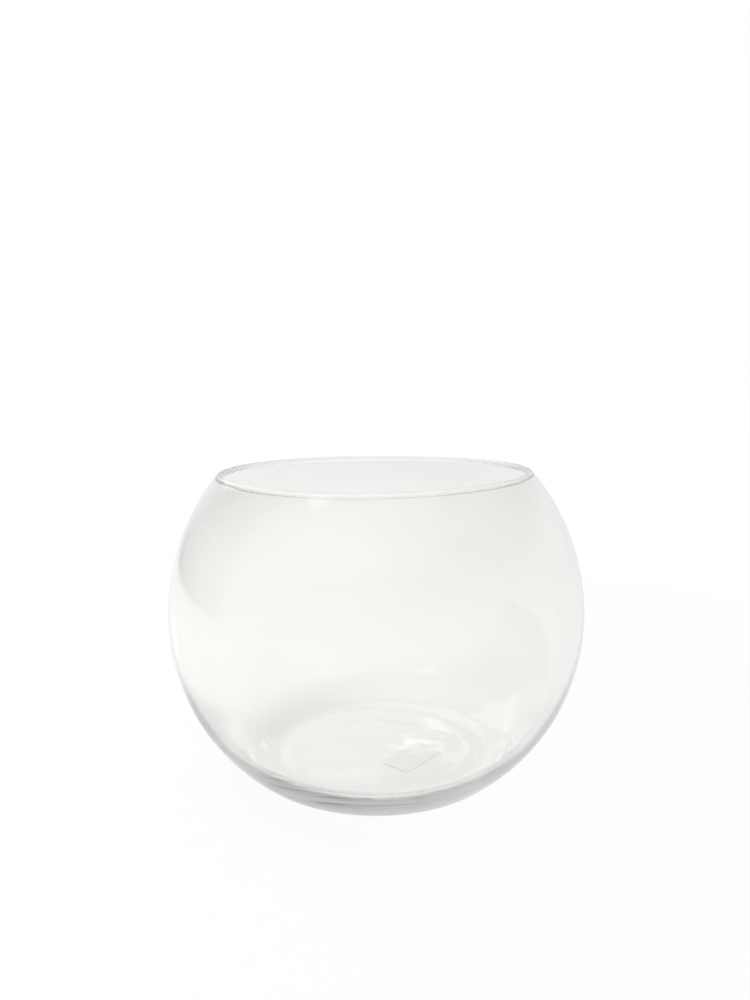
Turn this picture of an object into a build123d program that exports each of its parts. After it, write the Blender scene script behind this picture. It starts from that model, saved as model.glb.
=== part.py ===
"""Clear glass rose bowl: a near-spherical blown bowl on a heavy flat base, with a blank label under the base.

Millimetres, +Z up. The origin is the middle of the foot, on the surface that the bowl stands on.
"""
import os
from math import acos, asin, atan2, cos, degrees, hypot, radians, sin

from build123d import *

# Outside of the bowl
belly_radius = 76.0  # widest point of the wall
belly_height = 61.0  # widest point above the table
rim_height = 113.5  # top of the lip above the table
shoulder_arc_radius = 79.0  # section of the wall from the belly up to the lip
lower_arc_radius = 73.0  # section of the wall from the belly down to the heel
heel_radius = 20.0  # rounding from the wall into the foot

# Lip
bead_radius = 1.25  # rounded lip, thicker than the wall and flush with its outside
bead_fillet_radius = 1.5  # hollow inside the bowl, where the bead thins into the wall

# Inside of the bowl
wall = 2.2  # glass between the inside and the outside, from the bead down to the hip
hip_radius = 50.0  # upper part of the rounding from the wall into the floor
hip_turn = 14.0  # degrees that the hip turns through
floor_corner_radius = 34.0  # lower part of that rounding
floor_height = 5.5  # flat inside floor above the table

# Underside
foot_ring_width = 2.2  # flat ring that the bowl stands on
kick_depth = 0.8  # rise of the hollow underside, inside the foot ring

# Label
label_length = 22.0
label_width = 12.0
label_thickness = 0.1
label_corner_radius = 1.0
label_edge_gap = 6.5  # from the foot ring to the corner of the label that comes nearest to it
label_bearing = -25.0  # way from the bowl's axis to the middle of the label, in degrees from +X
label_turn = 49.0  # long side of the label, in degrees from +X


def angle_between(left, right, opposite):
    """Angle in degrees between two sides of a triangle, from its three lengths."""
    return degrees(acos((left**2 + right**2 - opposite**2) / (2 * left * right)))


# The section is drawn as one walk of tangent arcs, each turning through its own angle in degrees
heel_turn = degrees(acos((belly_height - heel_radius) / (lower_arc_radius - heel_radius)))
shoulder_rise = rim_height - bead_radius - belly_height
shoulder_turn = degrees(asin(shoulder_rise / (shoulder_arc_radius - bead_radius)))

# The centers of the bead, its fillet and the shoulder make a triangle
bead_reach = shoulder_arc_radius - bead_radius
fillet_reach = shoulder_arc_radius - wall - bead_fillet_radius
bead_step = bead_radius + bead_fillet_radius
fillet_lag = angle_between(bead_reach, fillet_reach, bead_step)
bead_wrap = angle_between(bead_reach, bead_step, fillet_reach)

# Slope of the inside wall where the hip starts, so that the floor corner ends level
hip_step = lower_arc_radius - wall - hip_radius
corner_step = hip_radius - floor_corner_radius
level_part = hip_step + corner_step * cos(radians(hip_turn))
lean_part = corner_step * sin(radians(hip_turn))
corner_drop = belly_height - floor_height - floor_corner_radius
hip_slope = degrees(acos(corner_drop / hypot(level_part, lean_part)) + atan2(lean_part, level_part))

# The heel leaves the foot plane below the heel's own center
lower_center_x = belly_radius - lower_arc_radius
foot_radius = lower_center_x + (lower_arc_radius - heel_radius) * sin(radians(heel_turn))
kick_rim_radius = foot_radius - foot_ring_width
kick_radius = (kick_rim_radius**2 + kick_depth**2) / (2 * kick_depth)

# The label stays clear of the foot ring
label_reach = kick_rim_radius - hypot(label_length, label_width) / 2 - label_edge_gap
label_x = label_reach * cos(radians(label_bearing))
label_y = label_reach * sin(radians(label_bearing))

os.makedirs("parts", exist_ok=True)

# Bowl: one piece of glass, turned about its axis
with BuildPart() as glass_bowl:
    with BuildSketch(Plane.XZ):
        with BuildLine():
            kick = TangentArc((0, kick_depth), (kick_rim_radius, 0), tangent=(1, 0))
            foot = Line(kick @ 1, (foot_radius, 0))
            heel = JernArc(foot @ 1, (1, 0), heel_radius, heel_turn)
            lower_wall = JernArc(heel @ 1, heel % 1, lower_arc_radius, 90 - heel_turn)
            shoulder = JernArc(lower_wall @ 1, (0, 1), shoulder_arc_radius, shoulder_turn)
            bead = JernArc(shoulder @ 1, shoulder % 1, bead_radius, 180 + bead_wrap)
            fillet_arc = JernArc(bead @ 1, bead % 1, bead_fillet_radius, -bead_wrap - fillet_lag)
            inner_turn = fillet_lag - shoulder_turn
            inner_shoulder = JernArc(fillet_arc @ 1, fillet_arc % 1, shoulder_arc_radius - wall, inner_turn)
            inner_wall = JernArc(inner_shoulder @ 1, (0, -1), lower_arc_radius - wall, hip_slope - 90)
            hip = JernArc(inner_wall @ 1, inner_wall % 1, hip_radius, -hip_turn)
            floor_corner = JernArc(hip @ 1, hip % 1, floor_corner_radius, hip_turn - hip_slope)
            floor = Line(floor_corner @ 1, (0, floor_height))
            Line(floor @ 1, kick @ 0)
        make_face()
    revolve(axis=Axis.Z)

glass_bowl.part.label = "glass_bowl"
export_step(glass_bowl.part, "parts/glass_bowl.step")

# Label: thin blank film that follows the hollow of the underside
with BuildPart() as base_label:
    with BuildSketch(Plane(origin=(label_x, label_y, 0)).rotated((0, 0, label_turn))):
        RectangleRounded(label_length, label_width, label_corner_radius)
    extrude(amount=kick_depth)
    with Locations((0, 0, kick_depth - kick_radius)):
        Sphere(kick_radius, mode=Mode.INTERSECT)
        Sphere(kick_radius - label_thickness, mode=Mode.SUBTRACT)

base_label.part.label = "base_label"
export_step(base_label.part, "parts/base_label.step")
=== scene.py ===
"""Looks of a clear glass rose bowl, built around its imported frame. Metres, +Z up, -Y towards the camera."""
from math import acos, asin, atan2, cos, degrees, hypot, pi, radians, sin, tan, tau

import bmesh
import bpy
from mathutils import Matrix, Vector


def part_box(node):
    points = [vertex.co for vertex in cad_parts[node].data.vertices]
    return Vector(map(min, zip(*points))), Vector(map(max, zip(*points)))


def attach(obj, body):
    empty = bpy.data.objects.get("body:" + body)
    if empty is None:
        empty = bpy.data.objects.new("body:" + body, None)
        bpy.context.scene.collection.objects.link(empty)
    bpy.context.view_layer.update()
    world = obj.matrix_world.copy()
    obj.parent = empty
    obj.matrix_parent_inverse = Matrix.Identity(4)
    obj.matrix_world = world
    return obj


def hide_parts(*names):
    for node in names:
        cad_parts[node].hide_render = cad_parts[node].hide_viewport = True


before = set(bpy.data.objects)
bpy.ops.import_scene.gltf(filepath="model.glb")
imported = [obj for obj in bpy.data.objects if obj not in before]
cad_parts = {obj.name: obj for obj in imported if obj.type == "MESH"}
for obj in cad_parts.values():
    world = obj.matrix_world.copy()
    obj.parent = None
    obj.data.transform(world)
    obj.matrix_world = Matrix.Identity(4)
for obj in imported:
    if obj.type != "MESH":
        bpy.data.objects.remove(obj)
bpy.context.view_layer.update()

MM = 0.001

# Bowl: the belly and the rim come from the frame, the rest repeats the section of the solid
top_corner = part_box("glass_bowl")[1]
belly_radius = top_corner.x
rim_height = top_corner.z
belly_height = 61.0 * MM
shoulder_arc_radius = 79.0 * MM
lower_arc_radius = 73.0 * MM
heel_radius = 20.0 * MM
wall = 2.2 * MM
bead_radius = 1.25 * MM
bead_fillet_radius = 1.5 * MM
hip_radius = 50.0 * MM
hip_turn = 14.0  # degrees
floor_corner_radius = 34.0 * MM
floor_height = 5.5 * MM
foot_ring_width = 2.2 * MM
kick_depth = 0.77 * MM  # 0.03 mm short of the solid's, so that the label's sticky face lies in the glass

# Fire polishing leaves the lip a little out of level: how far its top leans and waves
lip_lean = 0.66 * MM
lip_wave_along = 0.30 * MM
lip_wave_across = -0.20 * MM
lip_wave_depth = 25.0 * MM  # how far below the lip the unevenness dies out

# Mesh of the bowl: steps around it, and along the parts of its section at the base
ring_segments = 360
kick_steps = 14
foot_steps = 4
floor_steps = 14

# A pair of heights, reaches, sides or depths below is where a change starts and where it ends.
# A reach is measured from the middle of the foot or from the axis, a side along X and a depth along Y.

# Glass
glass_tint = (0.998, 0.998, 0.985, 1)
glass_ior = 1.5
# Painted shade: on the lower wall, where the glass is seen along its face, its colour darkens towards this
painted_edge_shade = (0.28, 0.28, 0.265, 1)  # on the lower wall, where it is seen along its face
edge_facing = (0.90, 1.0)  # Layer Weight's facing value, with the two lifts added
edge_lift = (0.22, 0.08)
edge_lift_heights = (15 * MM, 75 * MM)
heel_lift = 0.165  # on the outside alone
heel_lift_heights = (14 * MM, 28 * MM)
inside_share = 0.7  # the inside is tinted near the foot alone
inside_heights = (10 * MM, 20 * MM)
edge_ease = 0.5
edge_ease_heights = (15 * MM, 70 * MM)
edge_end_heights = (60 * MM, 85 * MM)

# Faint waves of blown glass on the inside floor
wave_scale = 95.0
wave_detail = 1.0
wave_depth = 0.12 * MM
wave_reaches = (26 * MM, 40 * MM)
wave_rest = 0.05  # share that is left up the wall
wave_heights = (2 * MM, 4 * MM)  # the underside stays smooth

# Lamp light that the glass keeps off the floor, where it grazes the wall and in the heel on the left
graze_power = 7
heel_shade = 0.06
heel_shade_sides = (-40 * MM, 20 * MM)
heel_shade_heights = (6 * MM, 24 * MM)
heel_shade_reaches = (36 * MM, 44 * MM)

# Label
film_shades = ((0.79, 0.79, 0.775, 1), (0.85, 0.85, 0.84, 1))
film_roughness = 0.4
pulp_scale = 420.0
pulp_detail = 3.0

# Floor: pale paper that keeps the bowl's shadow and passes into a plain table that glows in place of a lit
# one
floor_radius = 20.0
floor_segments = 96
floor_drop = 0.05 * MM
paper_level = 0.92
camera_lift = 0.8  # how far the paper is lifted towards white for the camera
table_reaches = (0.14, 0.40)
table_share = 0.98

# What the glass sees of the floor and of the room alike, so that they meet at the horizon
horizon_level = 0.86
right_sides = (-0.10, 0.24)  # the right is a little dimmer
right_level = 0.97
screen_sides = (-0.9, -0.4)  # a darker screen stands on the left, behind the bowl
screen_depths = (-0.2, 0.15)
screen_shade = 0.48

# What the glass sees of the floor alone
near_level = 0.96
far_reaches = (0.2, 1.2)
right_near_level = 0.9
right_reaches = (0.3, 1.0)
screen_reaches = (0.6, 1.0)
# Painted shadow on the floor, for the glass alone: a dim ring beside the bowl and a dim patch under the front
# of its base
gloom_left = 0.25  # dim ring around the bowl, on its left and right, which its lower edges show
gloom_left_sides = (-0.97, -0.85)
gloom_right = 0.1
gloom_right_sides = (0.85, 0.97)
gloom_start_reaches = (0.06, 0.085)
gloom_ease = 0.35
gloom_ease_reaches = (0.095, 0.14)
gloom_end_reaches = (0.18, 0.32)
under_shade = 0.09  # under the front of the base
under_depths = (-0.03, -0.005)
under_reaches = (0.04, 0.05)

# What the glass sees of the room, with bearings and rises in degrees
back_level = 0.45
back_rises = (6, 32)
dip_shade = 0.25  # the back is darker still on the right
dip_sides = (0.13, 0.6)
dip_soft = 0.1
front_level = 0.85
front_depths = (-0.5, 0.2)
pane_depths = (0, 0.2)
lit_panes = (  # bearings, rises, softness of the edges, level
    ((2.4, 6.2), (24.6, 25.5), 0.010, 1.0),
    ((6.0, 8.0), (25.8, 26.8), 0.010, 0.8),
    ((4.6, 9.0), (19, 23.2), 0.010, 0.9),
    ((-14, 1), (33, 46), 0.03, 0.9),
    ((-44, -25), (18, 40), 0.05, 0.9),
    ((-25, -16.5), (16, 42), 0.03, 0.9),
)
lit_spots = (  # bearing, rise, spread, level
    (245, 60.5, 7, 1.0),
    (113, 64, 7, 0.5),
)
wander_bounces = (14, 24)  # light that has wandered along the glass for so long is even
wander_level = 0.9

# Lighting: an even dome, and a soft box on the left
dome_level = 0.84
key_radiance = 5.4
key_bearing = -100
key_rise = 58
key_size = 0.28
key_distance = 0.7
light_bounces = 128  # light has to find its way along the glass wall

# Camera, fitted to the bowl's outline in the photograph
camera_place = (-0.43 * MM, -298.5 * MM, 146.5 * MM)
camera_dip = 8.59  # degrees below level
camera_lens = 29.43
camera_sensor = 36.0


def arc_points(start, heading, radius, turn, count):
    """Points along an arc in the (reach, height) plane and its last heading. Degrees; left is plus."""
    side = 1 if turn > 0 else -1
    to_center = radians(heading + 90 * side)
    center = (start[0] + radius * cos(to_center), start[1] + radius * sin(to_center))
    points = []
    for step in range(1, count + 1):
        angle = to_center + pi + radians(turn * step / count)
        points.append((center[0] + radius * cos(angle), center[1] + radius * sin(angle)))
    return points, heading + turn


def angle_between(left, right, opposite):
    """Angle in degrees between two sides of a triangle, from its three lengths."""
    return degrees(acos((left**2 + right**2 - opposite**2) / (2 * left * right)))


def bowl_section():
    """Half section of the glass, from the middle of the underside, round the lip, to that of the floor."""
    heel_turn = degrees(acos((belly_height - heel_radius) / (lower_arc_radius - heel_radius)))
    shoulder_rise = rim_height - bead_radius - belly_height
    shoulder_turn = degrees(asin(shoulder_rise / (shoulder_arc_radius - bead_radius)))

    # The centers of the bead, its fillet and the shoulder make a triangle
    bead_reach = shoulder_arc_radius - bead_radius
    fillet_reach = shoulder_arc_radius - wall - bead_fillet_radius
    bead_step = bead_radius + bead_fillet_radius
    fillet_lag = angle_between(bead_reach, fillet_reach, bead_step)
    bead_wrap = angle_between(bead_reach, bead_step, fillet_reach)

    # Slope of the inside wall where the hip starts, so that the floor corner ends level
    hip_step = lower_arc_radius - wall - hip_radius
    corner_step = hip_radius - floor_corner_radius
    level_part = hip_step + corner_step * cos(radians(hip_turn))
    lean_part = corner_step * sin(radians(hip_turn))
    corner_drop = belly_height - floor_height - floor_corner_radius
    hip_slope = degrees(acos(corner_drop / hypot(level_part, lean_part)) + atan2(lean_part, level_part))

    lower_center = belly_radius - lower_arc_radius
    foot_radius = lower_center + (lower_arc_radius - heel_radius) * sin(radians(heel_turn))
    kick_rim = foot_radius - foot_ring_width
    kick_radius = (kick_rim**2 + kick_depth**2) / (2 * kick_depth)
    kick_turn = degrees(asin(kick_rim / kick_radius))

    points = [(0.0, kick_depth)]
    heading = 0.0
    points += arc_points(points[-1], heading, kick_radius, -kick_turn, kick_steps)[0]
    points += [(kick_rim + foot_ring_width * step / foot_steps, 0.0) for step in range(1, foot_steps + 1)]
    walk = (  # radius, turn and steps of each arc, up the outside and down the inside
        (heel_radius, heel_turn, 20),
        (lower_arc_radius, 90 - heel_turn, 32),
        (shoulder_arc_radius, shoulder_turn, 32),
        (bead_radius, 180 + bead_wrap, 30),
        (bead_fillet_radius, -fillet_lag - bead_wrap, 10),
        (shoulder_arc_radius - wall, fillet_lag - shoulder_turn, 32),
        (lower_arc_radius - wall, hip_slope - 90, 28),
        (hip_radius, -hip_turn, 12),
        (floor_corner_radius, hip_turn - hip_slope, 20),
    )
    for radius, turn, count in walk:
        arc, heading = arc_points(points[-1], heading, radius, turn, count)
        points += arc
    floor_edge = points[-1][0]
    points += [(floor_edge * (1 - step / floor_steps), floor_height) for step in range(1, floor_steps)]
    points.append((0.0, floor_height))
    return points


def lip_level(angle):
    """Height of the lip's top around the bowl, about its own mean level."""
    lean = lip_lean * cos(angle)
    return lean + lip_wave_along * cos(2 * angle) + lip_wave_across * sin(2 * angle)


def settle_lip(mesh):
    """Slide the upper wall down along itself, so that the lip is out of level and nowhere above the rim."""
    highest = max(lip_level(tau * step / ring_segments) for step in range(ring_segments))
    for vertex in mesh.vertices:
        share = max(0.0, 1 - (rim_height - vertex.co.z) / lip_wave_depth)
        eased = share * share * (3 - 2 * share)
        angle = atan2(vertex.co.y, vertex.co.x)
        drop = eased * (highest - lip_level(angle))
        slope = asin(max(0.0, vertex.co.z - belly_height) / shoulder_arc_radius)
        vertex.co += Vector((cos(angle) * tan(slope), sin(angle) * tan(slope), -1)) * drop


def turned_mesh(name, section, segments):
    """Closed mesh of a section turned about the Z axis, with a single vertex where it meets the axis."""
    mesh = bpy.data.meshes.new(name)
    bm = bmesh.new()
    rings = []
    for reach, height in section:
        if reach == 0:
            rings.append([bm.verts.new((0, 0, height))])
            continue
        ring = []
        for step in range(segments):
            angle = tau * step / segments
            ring.append(bm.verts.new((reach * cos(angle), reach * sin(angle), height)))
        rings.append(ring)
    for low, high in zip(rings, rings[1:]):
        for step in range(segments):
            after = (step + 1) % segments
            if len(low) == 1:
                bm.faces.new((low[0], high[after], high[step]))
            elif len(high) == 1:
                bm.faces.new((low[step], low[after], high[0]))
            else:
                bm.faces.new((low[step], low[after], high[after], high[step]))
    bmesh.ops.recalc_face_normals(bm, faces=bm.faces)
    for face in bm.faces:
        face.smooth = True
    bm.to_mesh(mesh)
    bm.free()
    return mesh


def disc_mesh(name, radius, segments):
    mesh = bpy.data.meshes.new(name)
    bm = bmesh.new()
    bmesh.ops.create_circle(bm, cap_ends=True, radius=radius, segments=segments)
    bm.to_mesh(mesh)
    bm.free()
    return mesh


def add_object(name, data):
    thing = bpy.data.objects.new(name, data)
    bpy.context.scene.collection.objects.link(thing)
    return thing


class Graph:
    """Short ways to add nodes to a shader tree and to wire them."""

    def __init__(self, tree):
        self.nodes = tree.nodes
        self.links = tree.links

    def add(self, kind, inputs, **settings):
        """New node of a kind; each named input takes a plain value or the wire of another node."""
        node = self.nodes.new("ShaderNode" + kind)
        for name, value in settings.items():
            setattr(node, name, value)
        for name, value in inputs.items():
            self.feed(node.inputs[name], value)
        return node

    def feed(self, socket, value):
        if isinstance(value, bpy.types.NodeSocket):
            self.links.new(value, socket)
        else:
            socket.default_value = value

    def math(self, operation, first, second):
        return self.add("Math", {0: first, 1: second}, operation=operation).outputs["Value"]

    def vector(self, operation, output, *inputs):
        return self.add("VectorMath", dict(enumerate(inputs)), operation=operation).outputs[output]

    def parts(self, vector):
        return self.add("SeparateXYZ", {"Vector": vector}).outputs

    def product(self, first, *others):
        for other in others:
            first = self.math("MULTIPLY", first, other)
        return first

    def rest(self, share):
        return self.math("SUBTRACT", 1, share)

    def smooth(self, value, limits, at_low, at_high):
        """Level that changes smoothly while the value goes from one limit to the other."""
        low, high = limits
        inputs = {"Value": value, "From Min": low, "From Max": high, "To Min": at_low, "To Max": at_high}
        return self.add("MapRange", inputs, interpolation_type="SMOOTHSTEP").outputs["Result"]

    def span(self, value, limits, soft):
        """1 between two limits, falling to 0 over a soft edge on each side."""
        low, high = limits
        rising = self.smooth(value, (low - soft, low + soft), 0, 1)
        return self.product(rising, self.smooth(value, (high - soft, high + soft), 1, 0))

    def noise(self, place, scale, detail):
        return self.add("TexNoise", {"Vector": place, "Scale": scale, "Detail": detail}).outputs["Fac"]

    def color(self, share, first, second):
        """Color that goes from the first to the second as the share goes from 0 to 1."""
        inputs = {"Factor": share, "A": first, "B": second}
        return self.add("Mix", inputs, data_type="RGBA").outputs["Result"]

    def blend(self, share, first, second):
        """Shader that goes from the first to the second as the share goes from 0 to 1."""
        return self.add("MixShader", {0: share, 1: first, 2: second}).outputs["Shader"]


def new_material(name):
    material = bpy.data.materials.new(name)
    material.use_nodes = True
    return material, Graph(material.node_tree), material.node_tree.nodes["Principled BSDF"]


def painted_shade_strength(graph, facing, around, height):
    """How strongly painted shade darkens the glass: low on the outside, where it is seen along its face."""
    section = graph.add("CombineXYZ", {"X": around, "Z": height}).outputs["Vector"]
    lower_center = (belly_radius - lower_arc_radius, 0, belly_height)
    depth = graph.vector("DISTANCE", "Value", section, lower_center)
    outside = graph.smooth(depth, (lower_arc_radius - wall, lower_arc_radius), 0, 1)
    by_heel = graph.product(outside, graph.smooth(height, heel_lift_heights, heel_lift, 0))
    lift = graph.math("ADD", by_heel, graph.smooth(height, edge_lift_heights, *edge_lift))
    edge = graph.smooth(graph.math("ADD", facing, lift), edge_facing, 0, 1)
    below_shoulder = graph.smooth(height, edge_end_heights, 1, 0)
    surface = graph.math("MAXIMUM", outside, graph.smooth(height, inside_heights, inside_share, 0))
    eased = graph.smooth(height, edge_ease_heights, 1, edge_ease)
    return graph.product(edge, below_shoulder, surface, eased)


def lamp_share(graph, facing, around, parts):
    """Share of the lamps' light that goes through a surface of the glass."""
    grazing = graph.math("POWER", facing, graze_power)
    heel = graph.product(
        graph.smooth(parts["X"], heel_shade_sides, heel_shade, 0),
        graph.smooth(parts["Z"], heel_shade_heights, 1, 0),
        graph.smooth(around, heel_shade_reaches, 0, 1),
    )
    return graph.product(graph.rest(grazing), graph.rest(heel))


def glass_material():
    """Clear glass, with painted shade at its lower edges, the faint waves of blown glass, and lit through."""
    material, graph, shader = new_material("clear_glass")
    shader.inputs["Roughness"].default_value = 0.0
    shader.inputs["IOR"].default_value = glass_ior
    shader.inputs["Transmission Weight"].default_value = 1.0
    facing = graph.add("LayerWeight", {"Blend": 0.5}).outputs["Facing"]
    place = graph.add("NewGeometry", {}).outputs["Position"]
    parts = graph.parts(place)
    around = graph.vector("LENGTH", "Value", graph.vector("MULTIPLY", "Vector", place, (1, 1, 0)))

    # Painted shade: the base colour darkens at the lower edges
    strength = painted_shade_strength(graph, facing, around, parts["Z"])
    graph.feed(shader.inputs["Base Color"], graph.color(strength, glass_tint, painted_edge_shade))

    reach = graph.vector("LENGTH", "Value", place)
    above_underside = graph.smooth(parts["Z"], wave_heights, 0, 1)
    on_floor = graph.product(graph.smooth(reach, wave_reaches, 1, wave_rest), above_underside)
    waves = graph.product(graph.noise(place, wave_scale, wave_detail), on_floor)
    bump = graph.add("Bump", {"Height": waves, "Distance": wave_depth})
    graph.feed(shader.inputs["Normal"], bump.outputs["Normal"])

    # Shadow and diffuse rays go straight through
    passed = lamp_share(graph, facing, around, parts)
    clear = graph.add("BsdfTransparent", {"Color": passed}).outputs["BSDF"]
    path = graph.add("LightPath", {}).outputs
    lamp_ray = graph.math("MAXIMUM", path["Is Shadow Ray"], path["Is Diffuse Ray"])
    surface = graph.nodes["Material Output"].inputs["Surface"]
    graph.feed(surface, graph.blend(lamp_ray, shader.outputs["BSDF"], clear))
    return material


def film_material():
    """Pale film, lightly mottled."""
    material, graph, shader = new_material("label_film")
    place = graph.add("NewGeometry", {}).outputs["Position"]
    pulp = graph.noise(place, pulp_scale, pulp_detail)
    graph.feed(shader.inputs["Base Color"], graph.color(pulp, *film_shades))
    shader.inputs["Roughness"].default_value = film_roughness
    return material


def screen_share(graph, parts):
    """How much of the light from a direction the dark screen takes."""
    across = graph.smooth(parts["X"], screen_sides, screen_shade, 0)
    return graph.product(across, graph.smooth(parts["Y"], screen_depths, 0, 1))


def painted_shadow_share(graph, place, reach, way):
    """How much painted shadow darkens the floor that the glass sees, close beside the bowl and under it."""
    left = graph.smooth(way["X"], gloom_left_sides, gloom_left, 0)
    right = graph.smooth(way["X"], gloom_right_sides, 0, gloom_right)
    ring = graph.product(
        graph.smooth(reach, gloom_start_reaches, 0, 1),
        graph.smooth(reach, gloom_ease_reaches, 1, gloom_ease),
        graph.smooth(reach, gloom_end_reaches, 1, 0),
    )
    beside = graph.product(graph.math("ADD", left, right), ring)
    under = graph.smooth(graph.parts(place)["Y"], under_depths, under_shade, 0)
    under = graph.product(under, graph.smooth(reach, under_reaches, 1, 0))
    return graph.math("ADD", beside, under)


def floor_material():
    """Paper around the bowl that passes into a table that glows in place of a lit one; the camera sees both
    lifted towards white.
    """
    material, graph, shader = new_material("floor")
    graph.nodes.remove(shader)
    path = graph.add("LightPath", {}).outputs
    camera_ray = path["Is Camera Ray"]
    by_glass = graph.math("MAXIMUM", path["Is Glossy Ray"], path["Is Transmission Ray"])
    geometry = graph.add("NewGeometry", {}).outputs
    place = geometry["Position"]
    reach = graph.vector("LENGTH", "Value", place)
    way = graph.parts(graph.vector("NORMALIZE", "Vector", place))

    far = graph.smooth(reach, far_reaches, near_level, horizon_level)
    right_end = graph.smooth(reach, right_reaches, right_near_level, right_level)
    right = graph.smooth(way["X"], right_sides, 1, right_end)
    screen = graph.product(screen_share(graph, way), graph.smooth(reach, screen_reaches, 0, 1))
    # Painted shadow: the glass sees the paper and the table darker beside and under the bowl
    painted_shadow_rest = graph.rest(graph.product(painted_shadow_share(graph, place, reach, way), by_glass))
    table = graph.product(far, right, graph.rest(screen), graph.rest(camera_ray), painted_shadow_rest)
    table_glow = graph.add("Emission", {"Strength": graph.math("ADD", table, camera_ray)}).outputs["Emission"]
    paper = graph.add("BsdfDiffuse", {"Color": graph.product(painted_shadow_rest, paper_level)}).outputs["BSDF"]
    lifted = graph.blend(graph.product(camera_ray, camera_lift), paper, table_glow)
    upper_side = graph.blend(graph.smooth(reach, table_reaches, 0, table_share), lifted, table_glow)

    # From below the floor is clear, so that the underside of the bowl shows
    clear = graph.add("BsdfTransparent", {}).outputs["BSDF"]
    surface = graph.nodes["Material Output"].inputs["Surface"]
    graph.feed(surface, graph.blend(geometry["Backfacing"], upper_side, clear))
    material.cycles.emission_sampling = "NONE"
    return material


def toward(bearing, rise):
    """Direction out of the scene. Bearing 0 is behind the bowl and 90 to its right; rise is above level."""
    flat = cos(radians(rise))
    return Vector((sin(radians(bearing)) * flat, cos(radians(bearing)) * flat, sin(radians(rise))))


def pane_level(graph, parts, bearings, rises, soft, level):
    """Light of a pane behind the bowl, between two bearings and two rises."""
    across = graph.math("DIVIDE", parts["X"], parts["Y"])
    behind = graph.smooth(parts["Y"], pane_depths, 0, level)
    wide = graph.span(across, [tan(radians(bearing)) for bearing in bearings], soft)
    tall = graph.span(parts["Z"], [sin(radians(rise)) for rise in rises], soft)
    return graph.product(behind, wide, tall)


def room_level(graph, direction):
    """Light that the glass sees from a direction above the floor."""
    parts = graph.parts(direction)
    dip = graph.product(graph.span(parts["X"], dip_sides, dip_soft), dip_shade)
    upper = graph.math("SUBTRACT", back_level, dip)
    back = graph.smooth(parts["Z"], [sin(radians(rise)) for rise in back_rises], horizon_level, upper)
    front = graph.smooth(parts["Y"], front_depths, 1, 0)
    room = graph.math("ADD", graph.product(back, graph.rest(front)), graph.product(front, front_level))
    right = graph.smooth(parts["X"], right_sides, 1, right_level)
    room = graph.product(room, right, graph.rest(screen_share(graph, parts)))
    for bearings, rises, soft, level in lit_panes:
        room = graph.math("ADD", room, pane_level(graph, parts, bearings, rises, soft, level))
    for bearing, rise, spread, level in lit_spots:
        nearness = graph.vector("DOT_PRODUCT", "Value", direction, toward(bearing, rise))
        room = graph.math("ADD", room, graph.smooth(nearness, (cos(radians(spread)), 1), 0, level))
    return room


def studio_world():
    """White to the camera, an even dome for lighting, and a dim room above a pale table to the glass."""
    world = bpy.data.worlds.new("studio")
    world.use_nodes = True
    graph = Graph(world.node_tree)
    path = graph.add("LightPath", {}).outputs
    camera_ray = path["Is Camera Ray"]
    direction = graph.add("TexCoord", {}).outputs["Generated"]

    wandered = graph.smooth(path["Ray Depth"], wander_bounces, 0, 1)
    room = graph.product(room_level(graph, direction), graph.rest(wandered))
    room = graph.math("ADD", room, graph.product(wandered, wander_level))
    by_glass = graph.math("MAXIMUM", path["Is Glossy Ray"], path["Is Transmission Ray"])
    by_glass = graph.product(by_glass, graph.rest(graph.math("MINIMUM", path["Diffuse Depth"], 1)))
    dome = graph.product(dome_level, graph.rest(by_glass))
    level = graph.math("ADD", graph.product(room, by_glass), dome)
    hidden = graph.product(level, graph.rest(camera_ray))
    background = graph.nodes["Background"]
    background.inputs["Color"].default_value = (1, 1, 1, 1)
    graph.feed(background.inputs["Strength"], graph.math("ADD", hidden, camera_ray))
    return world


def add_key_lamp():
    """Soft box on the left that only lights: the glass doesn't mirror it."""
    away = toward(key_bearing, key_rise)
    light = bpy.data.lights.new("key", "AREA")
    light.size = key_size
    light.energy = key_radiance * pi * light.size**2
    lamp = add_object("key", light)
    lamp.location = away * key_distance
    lamp.rotation_mode = "QUATERNION"
    lamp.rotation_quaternion = (-away).to_track_quat("-Z", "Y")
    lamp.visible_camera = False
    lamp.visible_glossy = False
    lamp.visible_transmission = False


def add_camera():
    lens = bpy.data.cameras.new("camera")
    lens.sensor_width = camera_sensor
    lens.lens = camera_lens
    camera = add_object("camera", lens)
    camera.location = camera_place
    camera.rotation_euler = (radians(90 - camera_dip), 0, 0)
    return camera


bowl_mesh = turned_mesh("bowl", bowl_section(), ring_segments)
settle_lip(bowl_mesh)
bowl_mesh.materials.append(glass_material())
bowl = add_object("bowl", bowl_mesh)
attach(bowl, "root")
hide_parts("glass_bowl")

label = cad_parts["base_label"]
label.data.materials.clear()
label.data.materials.append(film_material())
label.visible_shadow = False  # so thin a film leaves no dark line around it

floor_mesh = disc_mesh("floor", floor_radius, floor_segments)
floor_mesh.materials.append(floor_material())
floor = add_object("floor", floor_mesh)
floor.location.z = -floor_drop

bpy.context.scene.world = studio_world()
add_key_lamp()
camera = add_camera()
bpy.context.scene.camera = camera
bpy.context.scene.view_settings.view_transform = "Standard"
bpy.context.scene.cycles.max_bounces = light_bounces
bpy.context.scene.cycles.transmission_bounces = light_bounces
bpy.context.scene.cycles.glossy_bounces = light_bounces
bpy.context.scene.cycles.blur_glossy = 0
